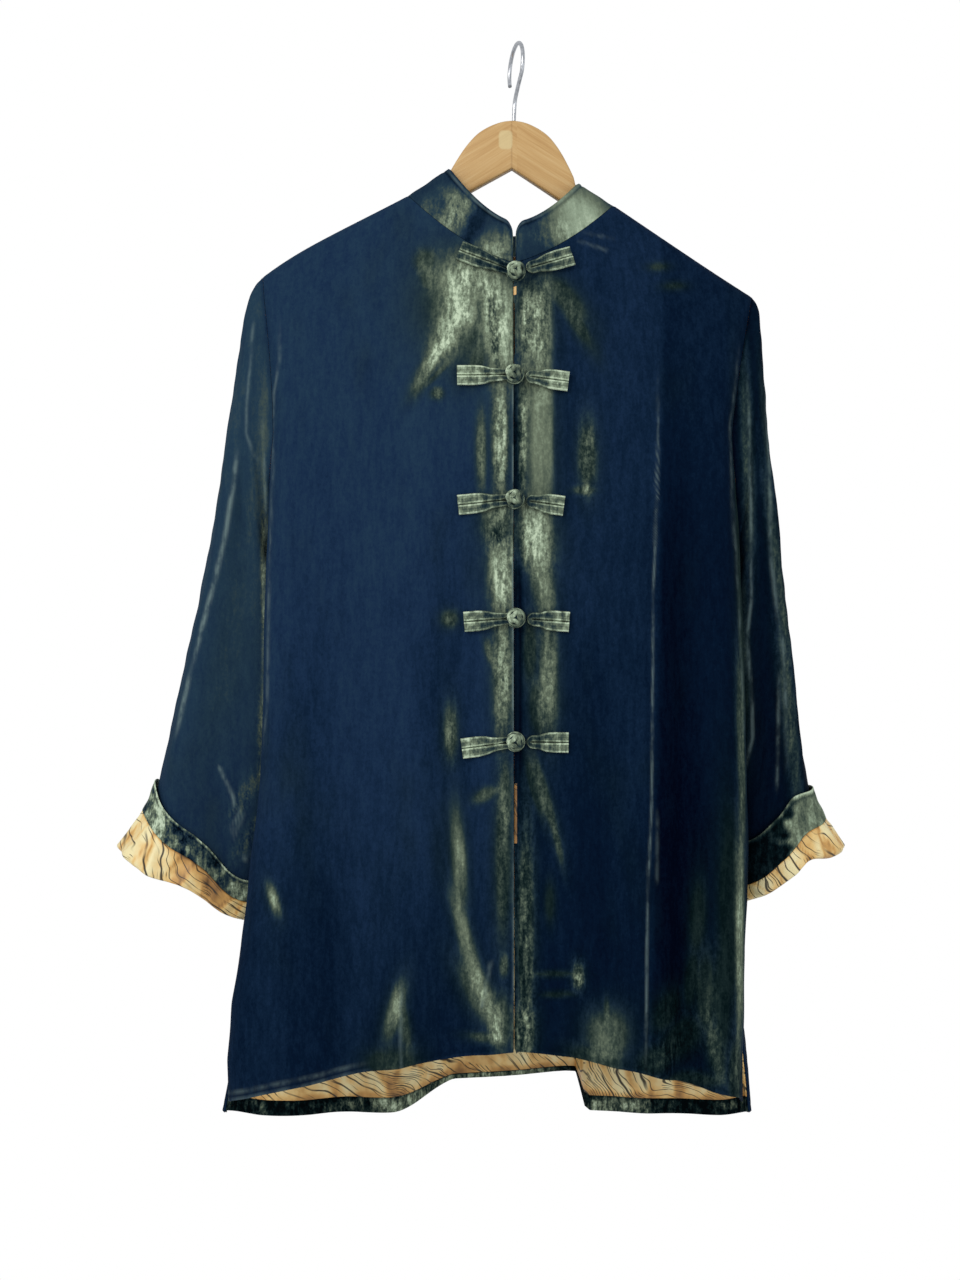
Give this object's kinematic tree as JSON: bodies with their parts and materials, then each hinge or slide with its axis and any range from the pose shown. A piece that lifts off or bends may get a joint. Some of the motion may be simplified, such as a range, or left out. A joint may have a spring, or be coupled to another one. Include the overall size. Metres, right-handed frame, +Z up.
{
  "type": "tang jacket on a wooden hanger",
  "caption": "Long velvet jacket with a stand collar, frog fasteners, side vents and turned-back cuffs, hanging on a flat wooden hanger with a wire hook.",
  "frame": {"origin": "the inside top of the hanger's hook, where a rail carries it", "axes": "+Z up, -Y out of the front of the jacket, -X towards the wearer's right sleeve"},
  "size_m": [0.6765, 0.1987, 1.0035],
  "materials": {
    "velvet": "crushed pile, dark teal navy with a sage sheen",
    "lining": "satin, gold with dark wavy contour lines",
    "wood": "satin varnish",
    "wire": "bright plated wire"
  },
  "bodies": {
    "root": {"back": "velvet", "back_hem_facing": "velvet", "front_right": "velvet", "front_left": "velvet", "sleeve_right": "velvet", "sleeve_left": "velvet", "cuff_right_facing": "velvet", "cuff_left_facing": "velvet", "collar": "velvet", "frog_1_loop": "velvet", "frog_1_stem": "velvet", "frog_1_knot": "velvet", "frog_2_loop": "velvet", "frog_2_stem": "velvet", "frog_2_knot": "velvet", "frog_3_loop": "velvet", "frog_3_stem": "velvet", "frog_3_knot": "velvet", "frog_4_loop": "velvet", "frog_4_stem": "velvet", "frog_4_knot": "velvet", "frog_5_loop": "velvet", "frog_5_stem": "velvet", "frog_5_knot": "velvet", "back_lining": "lining", "cuff_right_lining": "lining", "cuff_left_lining": "lining", "hanger_wood": "wood", "hanger_hook": "wire"}
  },
  "joints": []
}
